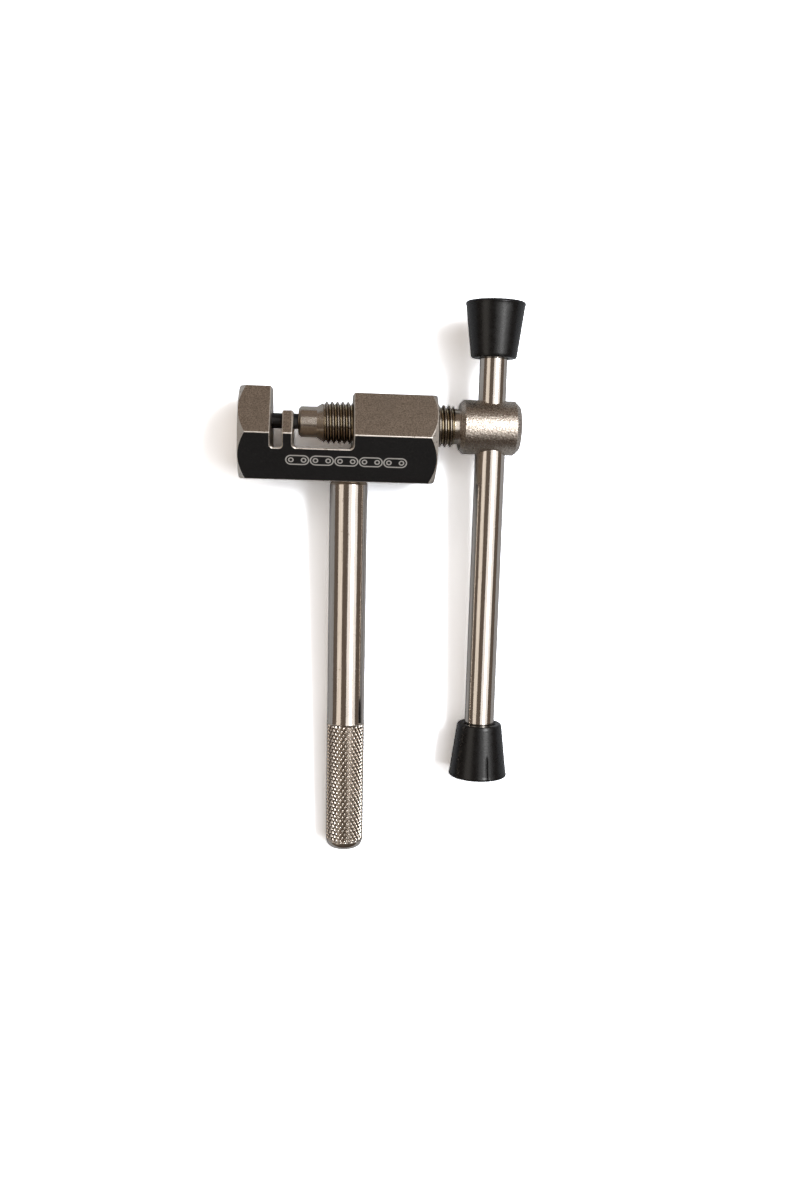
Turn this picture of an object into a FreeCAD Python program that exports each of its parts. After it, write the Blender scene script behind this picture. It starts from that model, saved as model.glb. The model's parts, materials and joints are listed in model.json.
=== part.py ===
import FreeCAD, Part
import math
import os
import Sketcher
from FreeCAD import Placement, Rotation, Vector

# A chain tool lying on a bench: a hexagonal bar with slots for the chain, a handle screwed into the
# bar's lower flat, and a screw with a T-bar that drives a pin through the chain. Millimetres, +Z up.
# X runs along the screw towards the T-bar. Bar, handle and screw rest on the bar's lower corner, the
# handle's end and the T-bar's lower cap, so the bar and handle lean by one angle about X and the
# screw and its T-bar by another.

doc = FreeCAD.newDocument("chain_tool")
sheet = doc.addObject("Spreadsheet::Sheet", "sizes")


class Size:
    """A length that knows its value and the sheet expression that it comes from."""

    def __init__(self, value, text):
        self.value = value
        self.text = text

    def joined(self, other, sign, swapped=False):
        other = other if isinstance(other, Size) else Size(float(other), repr(float(other)))
        left, right = (other, self) if swapped else (self, other)
        results = {"+": left.value + right.value, "-": left.value - right.value}
        results["*"] = left.value * right.value
        return Size(results[sign], f"({left.text} {sign} {right.text})")

    def __add__(self, other):
        return self.joined(other, "+")

    def __radd__(self, other):
        return self.joined(other, "+", swapped=True)

    def __sub__(self, other):
        return self.joined(other, "-")

    def __rsub__(self, other):
        return self.joined(other, "-", swapped=True)

    def __mul__(self, other):
        return self.joined(other, "*")

    def __rmul__(self, other):
        return self.joined(other, "*", swapped=True)

    def __neg__(self):
        return self.joined(-1.0, "*")


cells_used = 0


def size(alias, value, meaning):
    """Put one driving dimension into the sheet."""
    global cells_used
    cells_used += 1
    sheet.set(f"A{cells_used}", meaning)
    sheet.set(f"B{cells_used}", str(value))
    sheet.setAlias(f"B{cells_used}", alias)
    return Size(value, f"sizes.{alias}")


# Where the tool lies
place_x = size("place_x", -21.827, "bar's datum from the middle of the whole tool")
place_y = size("place_y", 33.701, "hexagon's axis from the middle of the whole tool")
place_z = size("place_z", 12.207, "height of the hexagon's axis over the bench")
screw_y = size("screw_y", 36.592, "screw axis from the middle of the whole tool")
screw_z = size("screw_z", 12.434, "height of the screw axis over the bench")
bar_lean = size("bar_lean", 4.479, "lean of bar and handle about X, in degrees")
screw_lean = size("screw_lean", 3.715, "lean of screw and T-bar about X, in degrees")

# Hexagonal bar, measured from the middle of the chain tooth
hex_flats = size("hex_flats", 21.3, "across the flats")
bar_back = size("bar_back", 11.25, "from the datum to the end where the rivet leaves")
bar_front = size("bar_front", 34.5, "from the datum to the end where the screw enters")
end_bevel = size("end_bevel", 1.75, "turned 45 degree bevel on the hexagon's corners")
corner_round = size("corner_round", 0.35, "rounding along the hexagon's corners")
axis_rise = size("axis_rise", 2.9, "screw axis over the hexagon's axis")

# Slots cut down from the top flat
slot_back = size("slot_back", 3.83, "chain slot's far wall from the datum")
tooth_back = size("tooth_back", 1.15, "chain tooth's face towards the chain slot")
tooth_front = size("tooth_front", 1.22, "chain tooth's face towards the screw")
gap_end = size("gap_end", 15.1, "end of the screw gap")
slot_floor = size("slot_floor", 3.2, "chain slot's floor under the hexagon's axis")
gap_floor = size("gap_floor", 3.1, "screw gap's floor under the hexagon's axis")
tooth_top = size("tooth_top", 5.15, "chain tooth's top over the hexagon's axis")
block_top = size("block_top", 9.75, "threaded block's milled top over the hexagon's axis")
slot_corner = size("slot_corner", 0.7, "radius in the chain slot's corners")
gap_corner = size("gap_corner", 0.95, "radius in the screw gap's corners")
edge_break = size("edge_break", 0.28, "broken edges round the slots")
cutter_past = size("cutter_past", 1.0, "how far each cut runs past the metal it takes away")
cradle_radius = size("cradle_radius", 4.0, "notch in the tooth for a chain roller")
cradle_cut = size("cradle_cut", 3.6, "length of the notch along the screw axis")
exit_radius = size("exit_radius", 2.0, "hole through which the rivet leaves")
bore_radius = size("bore_radius", 5.05, "screw's bore in the threaded block")
bore_bevel = size("bore_bevel", 0.45, "bevel at both mouths of the bore")

# Handle: a threaded stud, a plain shank and a knurled end
handle_x = size("handle_x", 14.5, "handle's axis from the datum")
handle_skew = size("handle_skew", 0.75, "handle out of square, its tip towards the T-bar, in degrees")
seat_gap = size("seat_gap", 0.06, "gap at the handle's seat that its skew leaves")
stud_radius = size("stud_radius", 2.9, "stud's outside radius")
stud_length = size("stud_length", 5.8, "stud's length")
stud_bevel = size("stud_bevel", 0.5, "bevel on the stud's end")
stud_hole_radius = size("stud_hole_radius", 3.0, "radius of the stud's hole")
stud_hole_depth = size("stud_hole_depth", 6.2, "depth of the stud's hole")
shank_radius = size("shank_radius", 4.55, "radius of the plain shank and over the knurl's crests")
shank_length = size("shank_length", 58.2, "plain shank's length")
seat_bevel = size("seat_bevel", 0.5, "bevel where the shank meets the bar")
knurl_length = size("knurl_length", 29.2, "knurl's length")
tip_length = size("tip_length", 2.2, "handle's end past the knurl")
tip_round = size("tip_round", 2.1, "rounding of the handle's end")

# Screw, measured from the datum along its axis
thread_radius = size("thread_radius", 4.95, "thread's crest radius, M10")
thread_pitch = size("thread_pitch", 1.25, "thread's pitch")
thread_depth = size("thread_depth", 0.74, "thread's depth")
thread_crest = size("thread_crest", 0.2, "flat left on the thread's crest")
thread_lead = size("thread_lead", 0.3, "bevel at both ends of the thread")
thread_runout = size("thread_runout", 0.6, "how far the groove runs out over the neck")
spigot_radius = size("spigot_radius", 2.48, "spigot that carries the pin holder")
spigot_start = size("spigot_start", 4.65, "front of the spigot")
cone_start = size("cone_start", 6.65, "shoulder behind the pin holder")
thread_start = size("thread_start", 8.25, "front of the thread")
neck_start = size("neck_start", 39.0, "back of the thread")
neck_radius = size("neck_radius", 4.15, "runout groove's radius")
head_start = size("head_start", 40.3, "front of the barrel head")
head_end = size("head_end", 54.5, "back of the barrel head")
head_radius = size("head_radius", 6.4, "barrel head's radius")
head_front_bevel = size("head_front_bevel", 0.9, "bevel towards the thread")
head_bevel = size("head_bevel", 1.2, "bevel at the free end")
head_axis = size("head_axis", 47.9, "T-bar's axis from the datum")
shoulder_y = size("shoulder_y", 2.0, "step in the cross hole over the screw axis")
cross_wide = size("cross_wide", 3.64, "cross hole's radius under the step")
cross_narrow = size("cross_narrow", 3.33, "cross hole's radius over the step")

# Pin and its holder
holder_start = size("holder_start", 2.35, "holder's front face from the datum")
holder_radius = size("holder_radius", 3.6, "holder's radius")
holder_bevel = size("holder_bevel", 0.6, "bevel on the holder's front")
holder_bore = size("holder_bore", 1.85, "hole for the pin")
socket_radius = size("socket_radius", 2.5, "socket behind the hole")
socket_start = size("socket_start", 3.55, "front of the socket")
pin_radius = size("pin_radius", 1.8, "drive pin's radius")
pin_reach = size("pin_reach", 5.2, "pin's tip, past the datum")
pin_bevel = size("pin_bevel", 0.3, "bevel on the pin's tip")
collar_radius = size("collar_radius", 2.35, "pin's collar")
collar_start = size("collar_start", 3.65, "front of the collar")
collar_end = size("collar_end", 4.6, "back of the pin")

# T-bar and caps, measured from the screw axis
bar_wide = size("bar_wide", 3.58, "T-bar's radius under its step")
bar_narrow = size("bar_narrow", 3.27, "T-bar's radius over its step")
bar_step = size("bar_step", 1.95, "T-bar's step over the screw axis")
bar_low = size("bar_low", 82.3, "T-bar's lower end")
bar_high = size("bar_high", 27.1, "T-bar's upper end")
bar_bevel = size("bar_bevel", 0.5, "bevel on the T-bar's ends")
low_cap_start = size("low_cap_start", 71.4, "lower cap's small end")
high_cap_start = size("high_cap_start", 16.2, "upper cap's small end")
cap_length = size("cap_length", 13.3, "a cap's length")
cap_bore_length = size("cap_bore_length", 10.9, "depth of a cap's bore")
cap_small = size("cap_small", 5.4, "a cap's radius at its small end")
cap_large = size("cap_large", 7.1, "a cap's radius at its large end")
cap_rim = size("cap_rim", 0.7, "rounding of the large end")
cap_lip = size("cap_lip", 0.35, "rounding of the small end")
cap_clearance = size("cap_clearance", 0.01, "between a cap's bore and the T-bar")

doc.recompute()


# ---- helpers that draw and revolve outlines ----

def body(label):
    """A new body whose label is the sub-part's name."""
    made = doc.addObject("PartDesign::Body", label)
    made.Label = label
    return made


def origin_plane(owner, role):
    return [part for part in owner.Origin.OriginFeatures if part.Role == role][0]


def sketch_on(owner, name, role, offset=None, shift=None, skew=None):
    """A sketch on one of the body's origin planes.

    It is raised by offset along the plane's normal and moved by shift along its first axis. A skew is
    an angle and the sketch's axis that it turns about.
    """
    sketch = owner.newObject("Sketcher::SketchObject", name)
    sketch.AttachmentSupport = [(origin_plane(owner, role), "")]
    sketch.MapMode = "FlatFace"
    if skew is not None:
        angle, axis = skew
        sketch.AttachmentOffset = Placement(Vector(0, 0, 0), Rotation(axis, angle.value))
        sketch.setExpression("AttachmentOffset.Rotation.Angle", angle.text)
    if shift is not None:
        sketch.setExpression("AttachmentOffset.Base.x", shift.text)
    if offset is not None:
        sketch.setExpression("AttachmentOffset.Base.z", offset.text)
    return sketch


def pin_down(sketch, geometry, vertex, x, y):
    """Tie one vertex of a sketch to two sizes."""
    for kind, axis, length in (("DistanceX", -2, x), ("DistanceY", -1, y)):
        if length.value == 0.0:
            sketch.addConstraint(Sketcher.Constraint("PointOnObject", geometry, vertex, axis))
            continue
        rule = Sketcher.Constraint(kind, -1, 1, geometry, vertex, length.value)
        number = sketch.addConstraint(rule)
        sketch.setExpression(f"Constraints[{number}]", length.text)


NOTHING = Size(0.0, "0")


def outline(sketch, corners):
    """A closed polygon through corners, each a pair of sizes."""
    points = [Vector(x.value, y.value, 0) for x, y in corners]
    first = sketch.GeometryCount
    for start, end in zip(points, points[1:] + points[:1]):
        sketch.addGeometry(Part.LineSegment(start, end))
    count = len(points)
    for index in range(count):
        following = first + (index + 1) % count
        sketch.addConstraint(Sketcher.Constraint("Coincident", first + index, 2, following, 1))
    for index, (x, y) in enumerate(corners):
        pin_down(sketch, first + index, 1, x, y)


def circle(sketch, x, y, radius):
    number = sketch.addGeometry(Part.Circle(Vector(x.value, y.value, 0), Vector(0, 0, 1), radius.value))
    pin_down(sketch, number, 3, x, y)
    rule = sketch.addConstraint(Sketcher.Constraint("Radius", number, radius.value))
    sketch.setExpression(f"Constraints[{rule}]", radius.text)


def revolved(owner, name, corners, axis, skew=None):
    """Turn an outline on the XY plane about the sketch's H_Axis (X) or V_Axis (Y)."""
    sketch = sketch_on(owner, name + "_outline", "XY_Plane", skew=skew)
    outline(sketch, corners)
    feature = owner.newObject("PartDesign::Revolution", name)
    feature.Profile = sketch
    feature.ReferenceAxis = (sketch, [axis])
    feature.Angle = 360
    doc.recompute()
    return feature


def cut(owner, name, kind, sketch, **settings):
    """A pocket, groove or helical cut that must take material away."""
    before = owner.Shape.Volume
    feature = owner.newObject("PartDesign::" + kind, name)
    feature.Profile = sketch
    for key, value in settings.items():
        if isinstance(value, Size):
            feature.setExpression(key, value.text)
        else:
            setattr(feature, key, value)
    doc.recompute()
    if owner.Shape.Volume >= before - 0.01:
        raise RuntimeError(f"{name} cut nothing")
    return feature


FLAT = 0.01
FLANK_DEGREES = 30


def edges_where(shape, test):
    return [f"Edge{number}" for number, edge in enumerate(shape.Edges, 1) if test(edge)]


def dress(owner, name, kind, base, edge_names, **sizes):
    """A fillet or chamfer on some edges, with sizes bound to the sheet."""
    feature = owner.newObject("PartDesign::" + kind, name)
    feature.Base = (base, edge_names)
    for key, length in sizes.items():
        feature.setExpression(key, length.text)
    doc.recompute()
    return feature


def near(a, b, reach=0.02):
    return abs(a - b) < reach


def place(owner, x, y, z, lean):
    """Put a body in the tool's frame: a point from the sheet and a lean about X."""
    owner.Placement = Placement(Vector(0, 0, 0), Rotation(Vector(1, 0, 0), lean.value))
    for axis, length in (("x", x), ("y", y), ("z", z)):
        owner.setExpression(f"Placement.Base.{axis}", length.text)
    owner.setExpression("Placement.Rotation.Angle", lean.text)


# ---- tool body ----

def make_tool_body():
    owner = body("tool_body")
    half = hex_flats * 0.5
    corner = hex_flats * (1 / math.sqrt(3))

    section = sketch_on(owner, "hexagon", "YZ_Plane")
    across = [(half, corner * 0.5), (NOTHING, corner), (-half, corner * 0.5)]
    outline(section, across + [(-y, -z) for y, z in across])
    bar = owner.newObject("PartDesign::Pad", "hex_bar")
    bar.Profile = section
    bar.SideType = "Two sides"
    bar.setExpression("Length", bar_front.text)
    bar.setExpression("Length2", bar_back.text)
    doc.recompute()

    def is_long_corner(edge):
        return near(edge.Length, (bar_front + bar_back).value)

    rounded = dress(owner, "rounded_corners", "Fillet", bar,
                    edges_where(bar.Shape, is_long_corner), Radius=corner_round)

    ends = sketch_on(owner, "end_bevels", "XY_Plane")
    over = corner + cutter_past
    for end, inward in ((bar_front, -1), (-bar_back, 1)):
        outline(ends, [(end, corner - end_bevel), (end, over), (end + inward * (end_bevel + cutter_past), over)])
    turned = cut(owner, "turned_ends", "Groove", ends, ReferenceAxis=(ends, ["H_Axis"]), Angle=360)

    slots = sketch_on(owner, "slots", "XY_Plane")
    sky = half + cutter_past
    outline(slots, [
        (-slot_back, -slot_floor), (-tooth_back, -slot_floor), (-tooth_back, tooth_top),
        (tooth_front, tooth_top), (tooth_front, -gap_floor), (gap_end, -gap_floor),
        (gap_end, block_top), (bar_front + cutter_past, block_top), (bar_front + cutter_past, sky), (-slot_back, sky),
    ])
    milled = cut(owner, "milled_slots", "Pocket", slots, SideType="Symmetric", Type="ThroughAll")

    def is_corner_at(*places):
        def test(edge):
            box = edge.BoundBox
            if box.ZLength < 5 or box.XLength > 0.01:
                return False
            return any(near(box.XMin, x.value) and near(box.YMin, y.value) for x, y in places)
        return test

    chain_corners = is_corner_at((-slot_back, -slot_floor), (-tooth_back, -slot_floor))
    chain_rounds = dress(owner, "chain_slot_corners", "Fillet", milled,
                         edges_where(milled.Shape, chain_corners), Radius=slot_corner)
    gap_corners = is_corner_at((tooth_front, -gap_floor), (gap_end, -gap_floor))
    dress(owner, "screw_gap_corners", "Fillet", chain_rounds,
          edges_where(chain_rounds.Shape, gap_corners), Radius=gap_corner)

    notch = sketch_on(owner, "roller_notch", "YZ_Plane")
    circle(notch, axis_rise, NOTHING, cradle_radius)
    cut(owner, "roller_cradle", "Pocket", notch, SideType="Symmetric", Length=cradle_cut)
    mouth = sketch_on(owner, "roller_mouth", "YZ_Plane")
    outline(mouth, [(axis_rise, -cradle_radius), (axis_rise, cradle_radius),
                    (sky, cradle_radius), (sky, -cradle_radius)])
    open_slots = cut(owner, "cradle_mouth", "Pocket", mouth, SideType="Symmetric", Length=cradle_cut)

    def is_slot_rim(edge):
        """True where a slot's wall, floor or top meets the hexagon's sloping faces or a top face."""
        span = edge.LastParameter - edge.FirstParameter
        points = [edge.valueAt(edge.FirstParameter + span * part) for part in (0, 0.25, 0.5, 0.75, 1)]
        box = edge.BoundBox
        if box.XMin < -slot_back.value - 0.01 or box.XMax > bar_front.value - 0.8:
            return False
        along = box.XLength > 0.99 * edge.Length
        if along and (abs(box.YMin) < 0.5 or box.YMin < -gap_floor.value - 0.1):
            return False
        slopes = [abs(p.y) * 0.5 + abs(p.z) * math.sqrt(0.75) for p in points]
        if min(slopes) > half.value - 0.08 and max(slopes) < half.value + 0.02:
            return True
        if along or box.XLength > 0.01 or box.YLength > 0.2:
            return False
        walls = [(-slot_back, half), (-tooth_back, tooth_top), (tooth_front, tooth_top), (gap_end, block_top)]
        return any(near(box.XMin, x.value) and near(box.YMax, y.value) for x, y in walls)

    rims = edges_where(open_slots.Shape, is_slot_rim)
    dress(owner, "slot_rims", "Fillet", open_slots, rims, Radius=edge_break)

    exit_ring = sketch_on(owner, "exit_ring", "YZ_Plane", offset=-tooth_back)
    circle(exit_ring, axis_rise, NOTHING, exit_radius)
    cut(owner, "rivet_exit", "Pocket", exit_ring, Type="ThroughAll")

    bore_ring = sketch_on(owner, "bore_ring", "YZ_Plane", offset=gap_end - cutter_past)
    circle(bore_ring, axis_rise, NOTHING, bore_radius)
    bore = cut(owner, "screw_bore", "Pocket", bore_ring, Type="ThroughAll", Reversed=True)

    def is_bore_mouth(edge):
        box = edge.BoundBox
        return box.XLength < 0.01 and near(box.YLength, 2 * bore_radius.value, 0.05)

    dress(owner, "bore_mouths", "Chamfer", bore, edges_where(bore.Shape, is_bore_mouth), Size=bore_bevel)

    stud_ring = sketch_on(owner, "stud_ring", "XZ_Plane", offset=half + seat_gap, shift=handle_x,
                          skew=(handle_skew, Vector(0, 1, 0)))
    circle(stud_ring, NOTHING, NOTHING, stud_hole_radius)
    cut(owner, "stud_hole", "Pocket", stud_ring, Length=stud_hole_depth + seat_gap)

    place(owner, place_x, place_y, place_z, bar_lean)
    return owner


# ---- handle ----

def make_handle():
    owner = body("handle_stem")
    tip = shank_length + knurl_length + tip_length
    turned = revolved(owner, "handle", [
        (NOTHING, stud_length), (stud_radius - stud_bevel, stud_length),
        (stud_radius, stud_length - stud_bevel), (stud_radius, -seat_gap),
        (shank_radius - seat_bevel, -seat_gap), (shank_radius, -seat_gap - seat_bevel),
        (shank_radius, -tip), (NOTHING, -tip),
    ], "V_Axis", skew=(handle_skew, Vector(0, 0, 1)))

    def is_tip_edge(edge):
        return near(edge.BoundBox.YMin, -tip.value, 0.1) and near(edge.Length, shank_radius.value * 2 * math.pi)

    dress(owner, "rounded_tip", "Fillet", turned, edges_where(turned.Shape, is_tip_edge), Radius=tip_round)
    # the handle's seat is on the bar's lower flat, which leans with the bar
    drop = f"({hex_flats.text} * 0.5 * cos({bar_lean.text} * 1 deg))"
    sink = f"({hex_flats.text} * 0.5 * sin({bar_lean.text} * 1 deg))"
    place(owner, place_x + handle_x, Size(0, f"{place_y.text} - {drop}"),
          Size(0, f"{place_z.text} - {sink}"), bar_lean)
    return owner


# ---- screw ----

def make_screw():
    owner = body("drive_screw")
    revolved(owner, "spindle", [
        (spigot_start, NOTHING), (spigot_start, spigot_radius), (cone_start, spigot_radius),
        (cone_start, holder_radius), (thread_start, thread_radius - thread_lead),
        (thread_start + thread_lead, thread_radius), (neck_start - thread_lead, thread_radius),
        (neck_start, neck_radius), (head_start, neck_radius),
        (head_start, head_radius - head_front_bevel), (head_start + head_front_bevel, head_radius),
        (head_end - head_bevel, head_radius), (head_end, head_radius - head_bevel),
        (head_end, NOTHING),
    ], "H_Axis")

    groove = sketch_on(owner, "thread_groove", "XY_Plane")
    lean = math.tan(math.radians(FLANK_DEGREES))
    half_mouth = (thread_pitch - thread_crest) * 0.5
    half_root = half_mouth - thread_depth * lean
    half_top = half_mouth + edge_break * lean
    first = thread_start - thread_pitch
    top = thread_radius + edge_break
    root = thread_radius - thread_depth
    outline(groove, [(first - half_top, top), (first - half_root, root), (first + half_root, root),
                     (first + half_top, top)])
    cut(owner, "thread", "SubtractiveHelix", groove, ReferenceAxis=(groove, ["H_Axis"]),
        Mode="pitch-height-angle", Pitch=thread_pitch,
        Height=neck_start - thread_start + thread_pitch + thread_runout, LeftHanded=False)

    wide = sketch_on(owner, "cross_hole_wide", "XZ_Plane", offset=-shoulder_y)
    circle(wide, head_axis, NOTHING, cross_wide)
    cut(owner, "cross_hole", "Pocket", wide, Type="ThroughAll", Reversed=True)
    narrow = sketch_on(owner, "cross_hole_narrow", "XZ_Plane")
    circle(narrow, head_axis, NOTHING, cross_narrow)
    cut(owner, "cross_hole_step", "Pocket", narrow, Type="ThroughAll")
    place(owner, place_x, screw_y, screw_z, screw_lean)
    return owner


def make_pin_holder():
    owner = body("pin_holder")
    revolved(owner, "holder", [
        (holder_start, holder_bore), (holder_start, holder_radius - holder_bevel),
        (holder_start + holder_bevel, holder_radius), (cone_start, holder_radius),
        (cone_start, socket_radius), (socket_start, socket_radius), (socket_start, holder_bore),
    ], "H_Axis")
    place(owner, place_x, screw_y, screw_z, screw_lean)
    return owner


def make_drive_pin():
    owner = body("drive_pin")
    revolved(owner, "pin", [
        (-pin_reach, NOTHING), (-pin_reach, pin_radius - pin_bevel), (pin_bevel - pin_reach, pin_radius),
        (collar_start, pin_radius), (collar_start, collar_radius), (collar_end, collar_radius),
        (collar_end, NOTHING),
    ], "H_Axis")
    place(owner, place_x, screw_y, screw_z, screw_lean)
    return owner


# ---- T-bar and caps ----

def make_tommy_bar():
    owner = body("tommy_bar")
    revolved(owner, "rod", [
        (NOTHING, bar_high), (bar_narrow - bar_bevel, bar_high), (bar_narrow, bar_high - bar_bevel),
        (bar_narrow, bar_step), (bar_wide, bar_step), (bar_wide, bar_bevel - bar_low),
        (bar_wide - bar_bevel, -bar_low), (NOTHING, -bar_low),
    ], "V_Axis")
    place(owner, place_x + head_axis, screw_y, screw_z, screw_lean)
    return owner


def make_cap(label, start, bar_radius, way):
    """A rubber cone pushed onto the T-bar: way is 1 for the upper end and -1 for the lower."""
    owner = body(label)
    end = start + cap_length
    bore = bar_radius + cap_clearance
    bore_end = start + cap_bore_length
    rise = [
        (bore, start), (cap_small, start), (cap_large, end), (NOTHING, end),
        (NOTHING, bore_end), (bore, bore_end),
    ]
    cone = revolved(owner, label + "_cone", [(x, y * way) for x, y in rise], "V_Axis")

    def is_rim(radius, height):
        def test(edge):
            level = edge.BoundBox
            flat = level.YLength < 0.01 and near(level.YMin, height.value * way)
            return flat and hasattr(edge.Curve, "Radius") and near(edge.Curve.Radius, radius.value)
        return test

    rims = edges_where(cone.Shape, is_rim(cap_large, end))
    rounded = dress(owner, label + "_rim", "Fillet", cone, rims, Radius=cap_rim)
    lips = edges_where(rounded.Shape, is_rim(cap_small, start))
    dress(owner, label + "_lip", "Fillet", rounded, lips, Radius=cap_lip)
    place(owner, place_x + head_axis, screw_y, screw_z, screw_lean)
    return owner


tool_body = make_tool_body()
handle_stem = make_handle()
drive_screw = make_screw()
pin_holder = make_pin_holder()
drive_pin = make_drive_pin()
tommy_bar = make_tommy_bar()
upper_cap = make_cap("upper_cap", high_cap_start, bar_narrow, 1)
lower_cap = make_cap("lower_cap", low_cap_start, bar_wide, -1)
sub_parts = [tool_body, handle_stem, drive_screw, pin_holder, drive_pin, tommy_bar, upper_cap, lower_cap]

doc.recompute()

for thing in doc.Objects:
    if {"Invalid", "Error"} & set(thing.State):
        raise RuntimeError(f"{thing.Name} failed: {thing.State}")
for sub_part in sub_parts:
    if sub_part.Shape.isNull() or not sub_part.Shape.isValid():
        raise RuntimeError(f"{sub_part.Label} has no valid shape")

os.makedirs("parts", exist_ok=True)
for sub_part in sub_parts:
    sub_part.Shape.exportStep(f"parts/{sub_part.Label}.step")

whole = Part.makeCompound([sub_part.Shape for sub_part in sub_parts]).optimalBoundingBox(True, False)
print("sub-parts", len(sub_parts))
print("overall", round(whole.XLength, 2), round(whole.YLength, 2), round(whole.ZLength, 2))
print("middle", round(whole.Center.x, 3), round(whole.Center.y, 3), "lowest", round(whole.ZMin, 3))
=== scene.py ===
# %% [markdown]
# # A chain tool in nickel and rubber
# The real object is a small bench tool that pushes a rivet out of a bicycle chain. A hexagonal bar
# carries slots for the chain, a round handle with a knurled end is screwed into its lower flat, and
# a fine screw with a T-bar drives a hard pin. The shapes that fit together come from the CAD model,
# which is loaded as a fixed frame. This lesson adds what CAD leaves out: the knurl, the moulded
# rubber caps, the metal finishes, and a light table with soft boxes that lets nickel look like nickel.

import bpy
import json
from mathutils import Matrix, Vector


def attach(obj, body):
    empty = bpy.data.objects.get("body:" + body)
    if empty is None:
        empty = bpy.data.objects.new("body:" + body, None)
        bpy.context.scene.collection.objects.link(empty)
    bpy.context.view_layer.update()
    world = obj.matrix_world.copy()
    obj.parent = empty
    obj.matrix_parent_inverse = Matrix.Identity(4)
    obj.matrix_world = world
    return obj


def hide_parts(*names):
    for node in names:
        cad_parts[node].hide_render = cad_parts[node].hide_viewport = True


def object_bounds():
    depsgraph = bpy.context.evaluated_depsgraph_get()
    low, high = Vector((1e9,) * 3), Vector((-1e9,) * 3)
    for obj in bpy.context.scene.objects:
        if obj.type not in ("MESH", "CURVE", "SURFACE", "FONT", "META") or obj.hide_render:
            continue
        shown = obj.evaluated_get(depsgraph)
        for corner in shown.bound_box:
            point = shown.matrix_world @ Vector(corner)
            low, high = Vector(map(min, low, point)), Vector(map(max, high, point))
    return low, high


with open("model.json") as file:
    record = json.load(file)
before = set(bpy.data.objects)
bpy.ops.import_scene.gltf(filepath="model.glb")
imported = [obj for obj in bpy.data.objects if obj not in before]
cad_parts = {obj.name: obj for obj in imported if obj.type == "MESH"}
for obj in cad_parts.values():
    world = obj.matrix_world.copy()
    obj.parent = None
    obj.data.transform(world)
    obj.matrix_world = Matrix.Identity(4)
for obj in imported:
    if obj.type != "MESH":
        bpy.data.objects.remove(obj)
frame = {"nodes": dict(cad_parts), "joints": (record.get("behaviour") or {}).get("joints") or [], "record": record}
cad_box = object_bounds()
print("CAD nodes:", ", ".join(sorted(frame["nodes"])))

# %% [markdown]
# ## Directions that the whole lesson uses
# The tool lies on a bench, so nothing is quite square to the world: the bar leans on its handle and
# the screw leans on its T-bar's lower cap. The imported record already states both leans, as the
# direction of the slide joint and of two mounts. Reading them there is safer than typing angles
# again, because the looks then follow the CAD model whenever it changes.

# %% Axes of the bar, the handle and the screw
import json
import math

import bmesh
import bpy
from mathutils import Vector

MM = 0.001
ALONG = Vector((1, 0, 0))
record = frame["record"]
mounts = {mount["name"]: mount for mount in record["mounts"]}
joints = {joint["name"]: joint for joint in frame["joints"]}
bar_up = Vector(mounts["chain_cradle"]["axis"]).normalized()
bar_out = ALONG.cross(bar_up)
handle_way = Vector(mounts["handle_grip"]["axis"]).normalized()
tee_down = Vector(joints["bar_slide"]["axis"]).normalized()
tee_out = ALONG.cross(-tee_down)
screw_point = Vector(joints["screw_turn"]["pos_m"])
print("bar leans", round(math.degrees(math.asin(bar_up.z)), 2), "degrees")
print("T-bar leans", round(math.degrees(math.asin(-tee_down.z)), 2), "degrees")

# %% [markdown]
# ## Writing shaders as sums
# A material is a graph of small nodes, and a graph typed node by node is hard to read. The class
# below wraps one socket, so that `1 - mask * 0.5` adds the Math nodes by itself. Every other node
# comes from its `node` method: the type, the settings, then the values or links of its sockets.

# %% A socket that can be added and multiplied
class Wire:
    """One output socket in a material, for use in Python expressions."""

    def __init__(self, tree, socket=None):
        self.tree = tree
        self.socket = socket

    def node(self, kind, settings=None, values=None, output=0):
        """Any node: its type, its settings, then what goes into its sockets."""
        made = self.tree.nodes.new("ShaderNode" + kind)
        for key, value in (settings or {}).items():
            setattr(made, key, value)
        for key, value in (values or {}).items():
            self.feed(made.inputs[key], value)
        return Wire(self.tree, made.outputs[output])

    def feed(self, socket, value):
        if isinstance(value, Wire):
            self.tree.links.new(value.socket, socket)
        else:
            socket.default_value = value

    def math(self, operation, *others):
        values = dict(enumerate((self, *others)))
        return self.node("Math", {"operation": operation}, values)

    def __add__(self, other):
        return self.math("ADD", other)

    __radd__ = __add__

    def __mul__(self, other):
        return self.math("MULTIPLY", other)

    __rmul__ = __mul__

    def __sub__(self, other):
        return self.math("SUBTRACT", other)

    def __rsub__(self, other):
        return self.node("Math", {"operation": "SUBTRACT"}, {0: other, 1: self})

    def __truediv__(self, other):
        return self.math("DIVIDE", other)

    def __pow__(self, other):
        return self.math("POWER", other)

    def __abs__(self):
        return self.math("ABSOLUTE")

    def step(self, low, high):
        """0 below low and 1 above high, with a smooth rise between them, or the other way round."""
        values = {"Value": self, "From Min": low, "From Max": high}
        return self.node("MapRange", {"interpolation_type": "SMOOTHSTEP"}, values)


print("socket class ready")


# %% A material with its shader's constants set on the shader itself
def new_finish(name, **constants):
    """A material, its shader node and a first Wire. Constants go on the shader's own sockets."""
    material = bpy.data.materials.new(name)
    material.use_nodes = True
    shader = material.node_tree.nodes["Principled BSDF"]
    for socket, value in constants.items():
        shader.inputs[socket.replace("_", " ")].default_value = value
    return material, shader, Wire(material.node_tree)


def colour_mix(share, first, second):
    """first where share is 0 and second where it is 1; each is a colour or a Wire."""
    ends = [c if isinstance(c, Wire) else (*c, 1) for c in (first, second)]
    values = {0: share, 6: ends[0], 7: ends[1]}
    return share.node("Mix", {"data_type": "RGBA"}, values, output=2)


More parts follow.
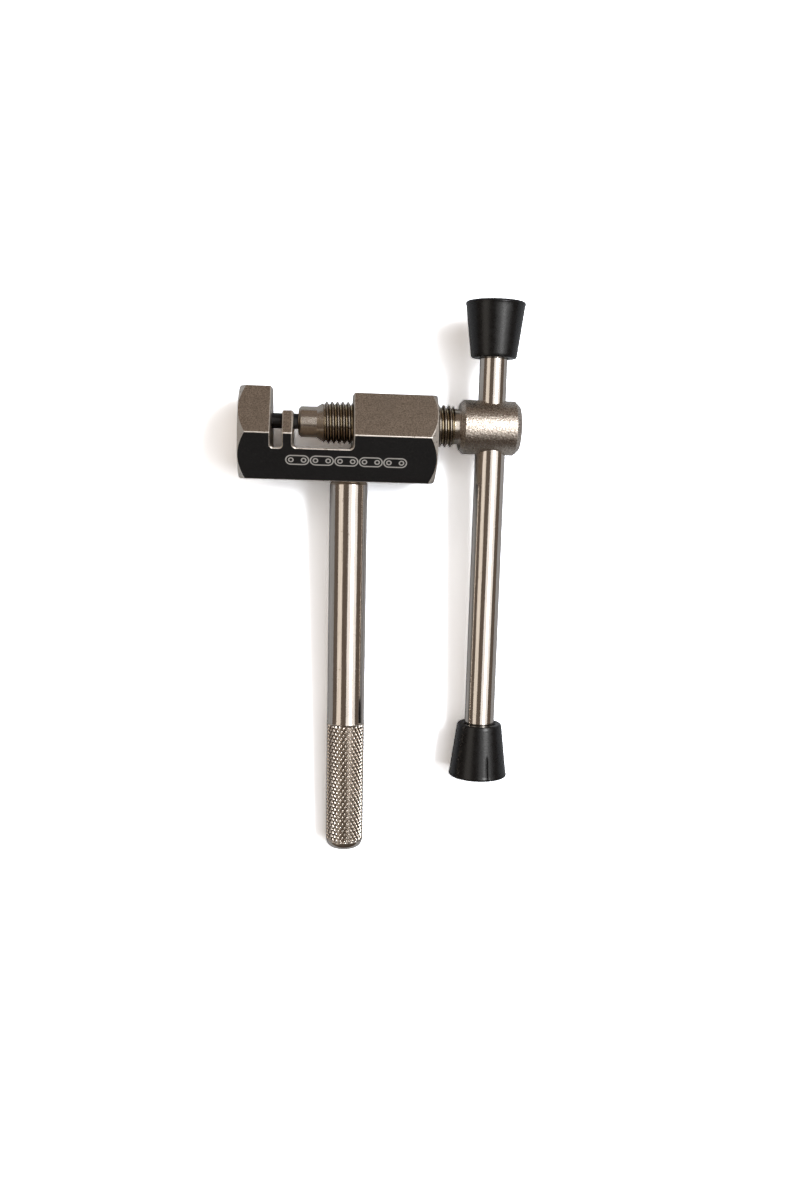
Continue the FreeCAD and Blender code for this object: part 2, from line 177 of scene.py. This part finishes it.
def noise(start, place, scale, detail=2.0, roughness=0.5):
    """Fractal noise from 0 to 1; scale is in lumps per metre."""
    values = {"Vector": place, "Scale": scale, "Detail": detail, "Roughness": roughness}
    return start.node("TexNoise", {}, values)


def bump(start, height, depth, strength=1.0):
    """Turn a height from 0 to 1 into a normal; depth is in metres."""
    return start.node("Bump", {}, {"Height": height, "Distance": depth, "Strength": strength})


def dress(name, material):
    """Give a CAD node a material in place of its own."""
    frame["nodes"][name].data.materials.clear()
    frame["nodes"][name].data.materials.append(material)
    print(name, "has", len(material.node_tree.nodes), "shader nodes")


def part_place(start):
    """The point on the piece, in metres, in the frame that the piece was built in."""
    return start.node("TexCoord", {}, {}, output="Object")


def distance_along(place, origin, direction):
    """How far a point lies from origin along a direction, in metres."""
    offset = place.node("VectorMath", {"operation": "SUBTRACT"}, {0: place, 1: origin})
    values = {0: offset, 1: direction}
    return place.node("VectorMath", {"operation": "DOT_PRODUCT"}, values, output="Value")


print("shader helpers ready")

# %% [markdown]
# ## Sizes that the finishes need
# The finishes are laid out in the bar's own directions, so they need its size: the hexagon is 21.3
# mm across its flats, and the drive screw's axis lies 2.9 mm above the hexagon's.

# %% Sizes of the bar and the screw
HEX_FLATS = 21.3 * MM
HEX_CORNER = HEX_FLATS / math.sqrt(3)
AXIS_RISE = 2.9 * MM
HEAD_FROM = 40.3 * MM
THREAD_FROM = 8.25 * MM
THREAD_TO = 39.0 * MM
CREST_RADIUS = 4.95 * MM
ROOT_RADIUS = 4.21 * MM
datum = Vector(mounts["chain_cradle"]["pos_m"])
hex_axis = datum - bar_up * AXIS_RISE
print("hexagon's axis", [round(v / MM, 2) for v in hex_axis], "mm")

# %% [markdown]
# ## Satin nickel with a dark face
# The bar is nickel plated over a tumbled blank, so the plating is satin, slightly warm and finely
# speckled. Its two lower slopes are coloured nearly black and matt. Every rounded edge shows bare,
# worn metal in a colour brighter than the plating, which also stands in for the edges' highlights:
# a painted highlight. One material does all three: the part's own normal says which face a point is
# on, and that is steadier than painting, because the CAD mesh has no texture coordinates. An edge is
# any place whose normal belongs to none of the flats.

# %% Which faces are flat, which are black, and what covers them
ON_FACE = (0.975, 0.99)
ON_FLAT = (0.990, 0.997)


def facing(start, direction):
    """How squarely the surface faces a direction: 1 straight at it and -1 away."""
    normal = start.node("TexCoord", {}, {}, output="Normal")
    values = {0: normal, 1: direction}
    return start.node("VectorMath", {"operation": "DOT_PRODUCT"}, values, output="Value")


def flat_faces(start):
    """1 on the bar's six flats, its ends and the walls of its cuts; 0 on every rounded edge."""
    slope = math.sqrt(3)
    flat = abs(facing(start, ALONG)).step(*ON_FLAT)
    for way in (bar_up, (bar_out * slope - bar_up) / 2, (bar_out * slope + bar_up) / 2):
        flat = flat.math("MAXIMUM", abs(facing(start, way)).step(*ON_FLAT))
    return flat


def finish_body():
    material, shader, start = new_finish("nickel_bar_finish", IOR=1.5)
    place = part_place(start)
    lower_front = (bar_out * math.sqrt(3) - bar_up) / 2
    lower_back = (-bar_out * math.sqrt(3) - bar_up) / 2
    front = facing(start, lower_front).step(*ON_FACE)
    back = facing(start, lower_back).step(*ON_FACE)
    black = front.math("MAXIMUM", back)
    wear = noise(start, place, 900, 4.0, 0.7)
    black = black * (1 - wear.step(0.70, 0.78) * 0.35)

    fine = noise(start, place, 3600, 3.0, 0.6)
    broad = noise(start, place, 160, 2.0, 0.5)
    nickel = colour_mix(fine.step(0.32, 0.68), (0.37, 0.32, 0.265), (0.70, 0.62, 0.54))
    nickel = colour_mix(broad.step(0.3, 0.7) * 0.35, nickel, (0.40, 0.35, 0.30))
    # The two lower slopes are coloured nearly black and matt.
    dark_slope_colour = colour_mix(fine.step(0.45, 0.75), (0.0035, 0.0035, 0.004), (0.012, 0.0115, 0.011))
    marks = link_marks(start, place, front)
    dark_slope_colour = colour_mix(marks, dark_slope_colour, (0.42, 0.41, 0.39))
    flat = flat_faces(start)
    # Rounded edges: bare, worn metal, coloured brighter than the plating so that it also stands in for their
    # highlights (painted highlight).
    worn_edge_and_highlight = (1 - flat) * wear.step(0.30, 0.48)
    colour_with_edge_highlight = colour_mix(worn_edge_and_highlight * 0.9, colour_mix(black, nickel, dark_slope_colour), (0.88, 0.83, 0.76))
    start.feed(shader.inputs["Base Color"], colour_with_edge_highlight)
    start.feed(shader.inputs["Metallic"], 1 - black * (1 - worn_edge_and_highlight))
    satin = fine * 0.14 + broad * 0.06 + 0.22
    start.feed(shader.inputs["Roughness"], black * 0.16 + worn_edge_and_highlight * 0.10 + satin)
    height = fine * 0.5 + noise(start, place, 2200, 3.0, 0.6) * 0.5
    start.feed(shader.inputs["Normal"], bump(start, height, 0.00006, 0.7))
    return material


# %% [markdown]
# ### A plain row of chain links as the mark
# Tools like this one carry a mark on the black face. A row of outlined chain links says what the
# tool is for and belongs to nobody. It could be cut into the mesh, but a laser mark has no depth,
# so it is drawn with distances: a link is the line around two round ends, folded to repeat.

# %% Distances that draw the links
LINK_COUNT = 5
LINK_PITCH = 5.6 * MM
LINK_HALF = 1.45 * MM
LINK_ROUND = 1.15 * MM
ROLLER_ROUND = 0.5 * MM
LINE_HALF = 0.13 * MM
MARK_MIDDLE = 13.6 * MM
MARK_BELOW = 6.9 * MM


def line_at(distance, half):
    """1 on a line where distance is near 0."""
    return abs(distance).step(half * 1.5, half * 0.7)


def link_marks(start, place, on_front):
    """1 on the outlines of a row of links on the lower front slope."""
    slope = (bar_up * math.sqrt(3) + bar_out) / 2
    face_normal = (bar_out * math.sqrt(3) - bar_up) / 2
    lowered = hex_axis + face_normal * (HEX_FLATS / 2) + slope * (HEX_CORNER / 2)
    middle = lowered - slope * MARK_BELOW + ALONG * MARK_MIDDLE
    across = distance_along(place, middle, slope)
    along = distance_along(place, middle - ALONG * LINK_PITCH * LINK_COUNT / 2, ALONG)
    turn = along / LINK_PITCH
    folded = abs((turn.math("FRACT") - 0.5) * LINK_PITCH)
    past = (folded - LINK_HALF).math("MAXIMUM", 0.0)
    outline = (past ** 2 + across ** 2) ** 0.5 - LINK_ROUND
    roller = ((folded - LINK_HALF) ** 2 + across ** 2) ** 0.5 - ROLLER_ROUND
    drawn = line_at(outline, LINE_HALF).math("MAXIMUM", line_at(roller, LINE_HALF))
    inside = turn.step(-0.001, 0.001) * turn.step(LINK_COUNT + 0.001, LINK_COUNT - 0.001)
    return drawn * inside * on_front


dress("tool_body", finish_body())

# %% [markdown]
# ## The drive screw: cut thread and cast head
# The screw is one plated piece with two characters. Its thread is cut and polished by use, with
# bright crests; its flanks are coloured dark brown as painted shade, and its root a light yellowish
# brown as a painted glint. Its barrel head keeps the rough skin of the blank. The distance along the
# screw tells head from thread, and the distance from the screw's axis tells crest, flank and root.

# %% Finish of the screw and the pin holder
THREAD_FADE = 0.5 * MM


def finish_screw():
    material, shader, start = new_finish("nickel_screw_finish", Metallic=1.0)
    place = part_place(start)
    along = distance_along(place, screw_point, ALONG)
    up = distance_along(place, screw_point, -tee_down)
    out = distance_along(place, screw_point, tee_out)
    radius = (up ** 2 + out ** 2) ** 0.5
    head = along.step(HEAD_FROM - 0.4 * MM, HEAD_FROM)
    flank_painted_shade = radius.step(CREST_RADIUS - 0.04 * MM, CREST_RADIUS - 0.18 * MM)
    root_painted_glint = radius.step(ROOT_RADIUS + 0.16 * MM, ROOT_RADIUS + 0.04 * MM)
    threaded = along.step(THREAD_FROM, THREAD_FROM + THREAD_FADE)
    threaded = threaded * along.step(THREAD_TO, THREAD_TO - THREAD_FADE)

    fine = noise(start, place, 4200, 3.0, 0.6)
    rough = noise(start, place, 2300, 4.0, 0.65)
    plate = colour_mix(fine.step(0.3, 0.7), (0.52, 0.465, 0.40), (0.66, 0.60, 0.53))
    cast = colour_mix(rough.step(0.35, 0.65), (0.42, 0.36, 0.305), (0.66, 0.595, 0.53))
    shown = colour_mix(head, plate, cast)
    # Painted shade: the thread's flanks are coloured dark brown.
    shown = colour_mix(flank_painted_shade * threaded * 0.85, shown, (0.13, 0.10, 0.065))
    # Painted glint: the thread's root is coloured a light yellowish brown.
    shown = colour_mix(root_painted_glint * threaded * 0.8, shown, (0.62, 0.53, 0.37))
    start.feed(shader.inputs["Base Color"], shown)
    start.feed(shader.inputs["Roughness"], head * 0.09 + fine * 0.07 + 0.15)
    height = rough * head + fine * 0.12
    start.feed(shader.inputs["Normal"], bump(start, height, 0.00012, 0.8))
    return material


screw_finish = finish_screw()
for name in ("drive_screw", "pin_holder"):
    dress(name, screw_finish)

# %% [markdown]
# ## The hardened pin
# The drive pin is ground and blackened steel. It is almost black, and smooth enough that one soft
# highlight runs along it.

# %% Finish of the pin
def finish_pin():
    material, shader, start = new_finish("black_pin_finish", Metallic=0.4)
    place = part_place(start)
    fine = noise(start, place, 3000, 3.0, 0.6)
    steel = colour_mix(fine, (0.010, 0.010, 0.011), (0.03, 0.03, 0.031))
    start.feed(shader.inputs["Base Color"], steel)
    start.feed(shader.inputs["Roughness"], fine * 0.12 + 0.26)
    start.feed(shader.inputs["Normal"], bump(start, fine, 0.00001, 0.5))
    return material


dress("drive_pin", finish_pin())

# %% [markdown]
# ## Bright drawn bar
# The T-bar and the handle's shank are drawn rod, plated bright. They act as mirrors that are curved
# one way, so what they show is the room: long light and dark bands. Their own detail is faint, made
# of fine lines along the rod from drawing, tiny pits, and a little haze.

# %% Finish of the rods
def finish_rod(name, middle, axis):
    """Bright plating with drawing lines along axis, for a rod through middle."""
    material, shader, start = new_finish(name, Metallic=1.0)
    place = part_place(start)
    length = distance_along(place, middle, axis)
    side = axis.cross(ALONG).normalized()
    x_part = distance_along(place, middle, ALONG)
    z_part = distance_along(place, middle, side)
    squeezed = start.node("CombineXYZ", {}, {0: x_part, 1: z_part, 2: length * 0.02})
    lines = noise(start, squeezed, 5200, 2.0, 0.5)
    pits = noise(start, place, 1300, 3.0, 0.6).step(0.62, 0.76)
    haze = noise(start, place, 220, 2.0, 0.5)
    plate = colour_mix(lines.step(0.3, 0.7), (0.60, 0.545, 0.49), (0.72, 0.665, 0.61))
    plate = colour_mix(pits * 0.35, plate, (0.40, 0.34, 0.29))
    start.feed(shader.inputs["Base Color"], plate)
    start.feed(shader.inputs["Roughness"], haze * 0.06 + pits * 0.12 + 0.09)
    start.feed(shader.inputs["Normal"], bump(start, lines * 0.6 + pits, 0.000012, 0.4))
    return material


dress("tommy_bar", finish_rod("nickel_tee_finish", screw_point, tee_down))

# %% [markdown]
# ## Turned pieces
# The handle and the two caps are round, so each is an outline turned about an axis. Blender's Screw
# modifier would do that, but the knurl and the slit in a cap need the radius to change with the
# angle as well. So the helper below builds the rings itself and lets a function move each point.

# %% A lathe that can also carve
SHARP_EDGE = math.radians(38)


def lathe(name, outline, angles, origin, axis, front, carve=None):
    """Turn an outline of (radius, height) pairs, from axis to axis, into a mesh.

    Angles run from the front direction towards +X. carve(radius, height, angle) gives a new radius.
    """
    side = axis.cross(front)
    side = side if side.x > 0 else -side
    mesh_points = [origin + axis * outline[0][1]]
    for radius, height in outline[1:-1]:
        for angle in angles:
            r = carve(radius, height, angle) if carve else radius
            out = front * math.cos(angle) + side * math.sin(angle)
            mesh_points.append(origin + axis * height + out * r)
    mesh_points.append(origin + axis * outline[-1][1])
    count, rings = len(angles), len(outline) - 2
    last = len(mesh_points) - 1
    faces = [(0, 1 + (i + 1) % count, 1 + i) for i in range(count)]
    for ring in range(rings - 1):
        low, high = 1 + ring * count, 1 + (ring + 1) * count
        for i in range(count):
            j = (i + 1) % count
            faces.append((low + i, low + j, high + j, high + i))
    top = 1 + (rings - 1) * count
    faces += [(last, top + i, top + (i + 1) % count) for i in range(count)]
    mesh = bpy.data.meshes.new(name)
    mesh.from_pydata(mesh_points, [], faces)
    work = bmesh.new()
    work.from_mesh(mesh)
    bmesh.ops.recalc_face_normals(work, faces=work.faces)
    work.to_mesh(mesh)
    work.free()
    mesh.shade_smooth()
    mesh.set_sharp_from_angle(angle=SHARP_EDGE)
    made = bpy.data.objects.new(name, mesh)
    bpy.context.scene.collection.objects.link(made)
    print(name, "has", len(mesh.polygons), "faces")
    return made


def even_angles(count):
    return [2 * math.pi * i / count for i in range(count)]


def arc(radius, height, bend, start, end, steps=8):
    """Points on a round of an outline: its centre, its radius and its two angles."""
    turns = [math.radians(start + (end - start) * i / steps) for i in range(steps + 1)]
    return [(radius + bend * math.cos(t), height + bend * math.sin(t)) for t in turns]


print("lathe ready")

# %% [markdown]
# ## The handle and its knurl
# The grip end is diamond knurled: a tool presses two families of grooves into the rod, one rising
# to the left and one to the right, and leaves rows of small pyramids. Bump alone would keep the
# outline smooth, and a real knurl shows a toothed edge, so these are real grooves. Angle and height
# are both counted in teeth. One family's grooves run where their sum is half-way between two whole
# numbers, and the other's where their difference is. The tops of the pyramids are cut a little flat.

# %% Knurl cut into the lathe's rings
TEETH = 26
STEPS_PER_TOOTH = 10
KNURL_LEAD = 44.2 * MM
KNURL_DEPTH = 0.50 * MM
CREST_FLAT = 1.5
KNURL_FROM = 58.2 * MM
KNURL_TO = 87.0 * MM
KNURL_FADE = 0.7 * MM
CREST = 4.55 * MM
SHANK = 4.48 * MM
SHANK_ROWS = (0.9, 20, 40, 56, 57.8)
TIP = 89.6 * MM
SEAT_GAP = 0.06 * MM
SEAT_BEVEL = 0.5 * MM
STUD = 2.85 * MM
STUD_BEVEL = 0.45 * MM
STUD_END = -5.8 * MM
half_grip = mounts["handle_grip"]["dims"]["length_mm"] / 2 * MM
grip_middle = Vector(mounts["handle_grip"]["pos_m"])
handle_seat = grip_middle - handle_way * (half_grip + SEAT_BEVEL + SEAT_GAP)
handle_front = ALONG.cross(-handle_way).normalized()
handle_side = (-handle_way).cross(handle_front)


def ridge(turns):
    """Height of one groove family: 1 on a ridge and 0 in a groove."""
    away = abs(2 * (turns % 1.0) - 1)
    return min(1.0, away * CREST_FLAT)


def knurl(radius, height, angle):
    """Lower the radius in the two families of grooves, and fade them out at both ends."""
    if not KNURL_FROM < height < KNURL_TO + KNURL_FADE:
        return radius
    around = TEETH * angle / (2 * math.pi)
    rise = TEETH * (height - KNURL_FROM) / KNURL_LEAD
    peak = min(ridge(around + rise), ridge(around - rise))
    from_ends = min(height - KNURL_FROM, KNURL_TO + KNURL_FADE - height)
    return radius - KNURL_DEPTH * (1 - peak) * min(1.0, from_ends / KNURL_FADE)


def handle_outline():
    """The stud, the bevelled seat, the shank, a ring for every row of the knurl, and the round tip."""
    pitch = KNURL_LEAD / (TEETH * STEPS_PER_TOOTH)
    rows = int((KNURL_TO + KNURL_FADE - KNURL_FROM) / pitch)
    stud = [(0, STUD_END), (STUD - STUD_BEVEL, STUD_END)]
    stud += [(STUD, STUD_END + STUD_BEVEL), (STUD, SEAT_GAP)]
    seat = [(SHANK - 0.48 * MM, SEAT_GAP), (SHANK - 0.13 * MM, 0.36 * MM), (SHANK, 0.55 * MM)]
    shank = [(SHANK, h * MM) for h in SHANK_ROWS]
    shoulder = [(CREST - 0.02 * MM, KNURL_FROM - 0.05 * MM)]
    grip_rows = [(CREST, KNURL_FROM + row * pitch) for row in range(rows + 1)]
    end = grip_rows[-1][1] + 0.05 * MM
    tip_round = TIP - end
    dome = arc(CREST - tip_round - 0.1 * MM, end, tip_round, 0, 90)
    return stud + seat + shank + shoulder + grip_rows + dome + [(0, TIP)]


handle = lathe("handle", handle_outline(), even_angles(TEETH * STEPS_PER_TOOTH), handle_seat,
               handle_way, handle_front, knurl)

# %% [markdown]
# The knurl is plated with the rest of the handle, but its grooves are coloured darker, as painted
# shade with a little grime, so its crests look rubbed bright beside them. The distance from the
# handle's axis tells how deep a point lies.

# %% Finish of the handle
def finish_handle():
    material = finish_rod("nickel_handle_finish", handle_seat, handle_way)
    shader = material.node_tree.nodes["Principled BSDF"]
    start = Wire(material.node_tree)
    place = part_place(start)
    along = distance_along(place, handle_seat, handle_way)
    side = distance_along(place, handle_seat, handle_side)
    out = distance_along(place, handle_seat, handle_front)
    radius = (side ** 2 + out ** 2) ** 0.5
    on_grip = along.step(KNURL_FROM - 0.2 * MM, KNURL_FROM)
    on_grip = on_grip * along.step(KNURL_TO + 1.2 * MM, KNURL_TO)
    depth = radius.step(CREST - 0.03 * MM, CREST - KNURL_DEPTH) * on_grip
    plate = Wire(material.node_tree, shader.inputs["Base Color"].links[0].from_socket)
    # Painted shade with a little grime: the deeper a point lies in a groove, the darker its colour.
    plate = colour_mix(depth * 0.6, plate, (0.30, 0.255, 0.21))
    start.feed(shader.inputs["Base Color"], plate)
    haze = Wire(material.node_tree, shader.inputs["Roughness"].links[0].from_socket)
    start.feed(shader.inputs["Roughness"], haze + on_grip * 0.06)
    return material


handle.data.materials.append(finish_handle())
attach(handle, "tool_frame")
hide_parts("handle_stem")
print("handle rides on tool_frame in place of handle_stem")

# %% [markdown]
# ## The rubber caps
# Each cap is a moulded rubber cone pushed onto the T-bar: a hole with a small countersink at its
# narrow end, straight sides, and a rounded rim round a slightly domed wide end. The lower one has
# split a little, as rubber does when it is pushed on hard, so it gets a thin slit with raised lips.

# %% The caps' outline and the slit
CAP_LENGTH = 13.3 * MM
CAP_BORE = 10.9 * MM
CAP_SMALL = 5.38 * MM
CAP_LARGE = 7.08 * MM
RIM = 0.62 * MM
LIP = 0.42 * MM
SLIT_ANGLE = math.radians(12)
SLIT_FROM = 6.9 * MM
SLIT_TO = 12.7 * MM
SLIT_HALF = 0.10 * MM
SLIT_DEPTH = 0.30 * MM
SLIT_FADE = 0.9 * MM
LIP_REACH = 0.42 * MM
LIP_HEIGHT = 0.07 * MM
CLOSE_REACH = 1.1 * MM / CAP_LARGE
CLOSE_STEPS = 22
CONE_STEPS = 24
DOME_SINK = 0.14 * MM
DOME_RADIUS = 6.4 * MM
DOME_RINGS = (5.6 * MM, 4.2 * MM, 2.8 * MM, 1.4 * MM)


def cap_outline(bore):
    """From the bore's closed end, out of the narrow end, over the cone and round to the wide end."""
    slope = (CAP_LARGE - CAP_SMALL) / CAP_LENGTH
    inside = [(0, CAP_BORE), (bore, CAP_BORE), (bore, 1.0 * MM), (bore + 0.16 * MM, 0.45 * MM)]
    mouth = [(bore + 0.42 * MM, 0.12 * MM), (bore + 0.62 * MM, 0.0)]
    lip = arc(CAP_SMALL - LIP, LIP, LIP, -90, -4, 6)
    low, high = LIP * 1.2, CAP_LENGTH - RIM * 1.9
    heights = [low + (high - low) * i / CONE_STEPS for i in range(CONE_STEPS + 1)]
    cone = [(CAP_SMALL + slope * height, height) for height in heights]
    skirt = [(CAP_LARGE - 0.02 * MM, CAP_LENGTH - RIM * 1.35)]
    rim = arc(CAP_LARGE - RIM, CAP_LENGTH - RIM - 0.22 * MM, RIM, 4, 82, 8)
    dome = [(r, CAP_LENGTH - DOME_SINK * (r / DOME_RADIUS) ** 2) for r in DOME_RINGS]
    return inside + mouth + lip + cone + skirt + rim + dome + [(0, CAP_LENGTH)]


def slit_angles():
    """Even angles, with close ones added on both sides of the slit."""
    steps = range(-CLOSE_STEPS, CLOSE_STEPS + 1)
    close = [SLIT_ANGLE + CLOSE_REACH * i / CLOSE_STEPS for i in steps]
    even = [a for a in even_angles(96) if abs(a - SLIT_ANGLE) > CLOSE_REACH * 1.05]
    return sorted(even + close)


def slit(radius, height, angle):
    """Sink a thin line into the cone and raise a lip on each side of it."""
    if not SLIT_FROM < height < SLIT_TO or radius < CAP_SMALL:
        return radius
    across = abs(angle - SLIT_ANGLE) * radius
    deepening = min(1.0, (height - SLIT_FROM) / SLIT_FADE)
    if across < SLIT_HALF:
        return radius - SLIT_DEPTH * deepening
    lip = max(0.0, 1 - (across - SLIT_HALF) / LIP_REACH)
    return radius + LIP_HEIGHT * lip * lip * deepening


print("the lower cap has", len(slit_angles()), "points round each ring")


# %% Rubber: nearly black, mottled, with a soft sheen
def finish_rubber():
    material, shader, start = new_finish("black_rubber_finish", Metallic=0.0, Specular_IOR_Level=0.46)
    place = part_place(start)
    fine = noise(start, place, 2600, 4.0, 0.65)
    mottle = noise(start, place, 700, 3.0, 0.6)
    dust = noise(start, place, 1700, 4.0, 0.75).step(0.66, 0.76)
    dark = colour_mix(mottle.step(0.35, 0.7), (0.0015, 0.0015, 0.0018), (0.0040, 0.0041, 0.0045))
    start.feed(shader.inputs["Base Color"], colour_mix(dust * 0.4, dark, (0.07, 0.07, 0.072)))
    start.feed(shader.inputs["Roughness"], mottle * 0.12 + fine * 0.06 + 0.19)
    start.feed(shader.inputs["Normal"], bump(start, fine * 0.6 + mottle * 0.6, 0.00006, 0.55))
    return material


# %% Put a cap on each end of the T-bar
BAR_NARROW = 3.27 * MM
BAR_WIDE = 3.58 * MM
BORE_GAP = 0.02 * MM
CAP_STEPS = 128
UPPER_START = 16.2 * MM
LOWER_START = 71.4 * MM
HEAD_AXIS = 47.9 * MM
tee_middle = screw_point + ALONG * HEAD_AXIS
rubber = finish_rubber()
upper = lathe("rubber_cap_upper", cap_outline(BAR_NARROW + BORE_GAP), even_angles(CAP_STEPS),
              tee_middle - tee_down * UPPER_START, -tee_down, tee_out)
lower = lathe("rubber_cap_lower", cap_outline(BAR_WIDE + BORE_GAP), slit_angles(),
              tee_middle + tee_down * LOWER_START, tee_down, tee_out, slit)
for cap, node in ((upper, "upper_cap"), (lower, "lower_cap")):
    cap.data.materials.append(rubber)
    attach(cap, "t_bar")
    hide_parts(node)

# %% [markdown]
# ## Floor, light and camera
# Bright metal shows nothing but its surroundings, so the light is half of the finish. To the right
# hang three soft boxes, one just in front of another: a wide one that gives the rods their broad
# white band, a narrower and brighter one, and a small hot core for the highlights. A strip low on
# the left gives the second band, and the dim room between them draws the brown lines. The floor is
# lit beyond white, so only the shadows close to the tool are left on it. A floor that bright would
# wash the metal out, so every ray but the camera's meets a mid grey.

# %% Pale floor that looks white but lights the metal gently
FLOOR_SEEN = 2.6
FLOOR_FELT = 0.40
FLOOR_DROP = 0.05 * MM
FLOOR_HALF = 2.5


def finish_floor():
    """A diffuse floor, over-exposed where it is looked at and grey where it lights the tool."""
    material, shader, start = new_finish("pale_floor")
    seen = start.node("LightPath", {}, {}, output="Is Camera Ray")
    shade = seen * (FLOOR_SEEN - FLOOR_FELT) + FLOOR_FELT
    grey = start.node("CombineColor", {}, {0: shade * 0.95, 1: shade, 2: shade * 1.06})
    matt = start.node("BsdfDiffuse", {}, {"Color": grey})
    material.node_tree.nodes.remove(shader)
    start.feed(material.node_tree.nodes["Material Output"].inputs["Surface"], matt)
    return material


floor_mesh = bpy.data.meshes.new("floor")
floor_level = cad_box[0].z - FLOOR_DROP
signs = ((-1, -1), (1, -1), (1, 1), (-1, 1))
corners = [(x * FLOOR_HALF, y * FLOOR_HALF, floor_level) for x, y in signs]
floor_mesh.from_pydata(corners, [], [(0, 1, 2, 3)])
floor = bpy.data.objects.new("floor", floor_mesh)
floor_mesh.materials.append(finish_floor())
bpy.context.scene.collection.objects.link(floor)
print("floor lies at", round(floor_level / MM, 2), "mm")


# %% Soft boxes, each aimed at the tool
def soft_box(name, lean, distance, wide, long, along, radiance, colour=(1, 1, 1)):
    """An area light leaning from straight up towards +X, wide in that direction and long along Y."""
    data = bpy.data.lights.new(name, "AREA")
    data.shape = "RECTANGLE"
    data.size, data.size_y = wide, long
    data.energy = radiance * math.pi * wide * long
    data.color = colour
    lamp = bpy.data.objects.new(name, data)
    angle = math.radians(lean)
    lamp.location = (math.sin(angle) * distance, along, math.cos(angle) * distance)
    lamp.rotation_euler = (0, angle, 0)
    bpy.context.scene.collection.objects.link(lamp)


RIGHT_LEAN, LEFT_LEAN = 28, -47
soft_box("right_wide", RIGHT_LEAN, 0.85, 0.90, 0.90, 0.10, 1.15)
soft_box("right_band", RIGHT_LEAN, 0.845, 0.24, 0.95, 0.04, 2.3)
soft_box("right_core", RIGHT_LEAN, 0.84, 0.17, 0.30, 0.19, 19.0)
soft_box("left_strip", LEFT_LEAN, 0.85, 0.42, 1.20, 0, 0.95, (1.0, 0.94, 0.86))

# %% A dim, warm room, lighter beyond the tool's top and darker beyond its grip
world = bpy.data.worlds.new("studio")
world.use_nodes = True
bpy.context.scene.world = world
sky = Wire(world.node_tree)
direction = sky.node("TexCoord", {}, {}, output="Generated")
TOP_WAY = Vector((-0.25, 0.97, 0)).normalized()
top_side = distance_along(direction, Vector((0, 0, 0)), TOP_WAY)
room = colour_mix(top_side.step(0.05, 0.95), (0.150, 0.120, 0.098), (0.225, 0.180, 0.148))
room = colour_mix(top_side.step(-0.30, -0.85), room, (0.080, 0.062, 0.050))
sky.feed(world.node_tree.nodes["Background"].inputs["Color"], room)
print("room has", len(world.node_tree.nodes), "nodes")

# %% Camera above the tool, a little left of its middle
LENS = 34.5
CAMERA_PLACE = (-14.61 * MM, 9.61 * MM, 285.09 * MM)
CAMERA_TURN = (-3.13, -4.14, 1.53)
camera_data = bpy.data.cameras.new("camera")
camera_data.lens = LENS
camera_data.clip_start = 0.01
camera = bpy.data.objects.new("camera", camera_data)
camera.location = CAMERA_PLACE
camera.rotation_euler = [math.radians(angle) for angle in CAMERA_TURN]
bpy.context.scene.collection.objects.link(camera)
bpy.context.scene.camera = camera
bpy.context.scene.view_settings.view_transform = "Standard"
print("camera stands", round(CAMERA_PLACE[2] / MM), "mm above the bench")

# %% Update the scene and finish
bpy.context.view_layer.update()
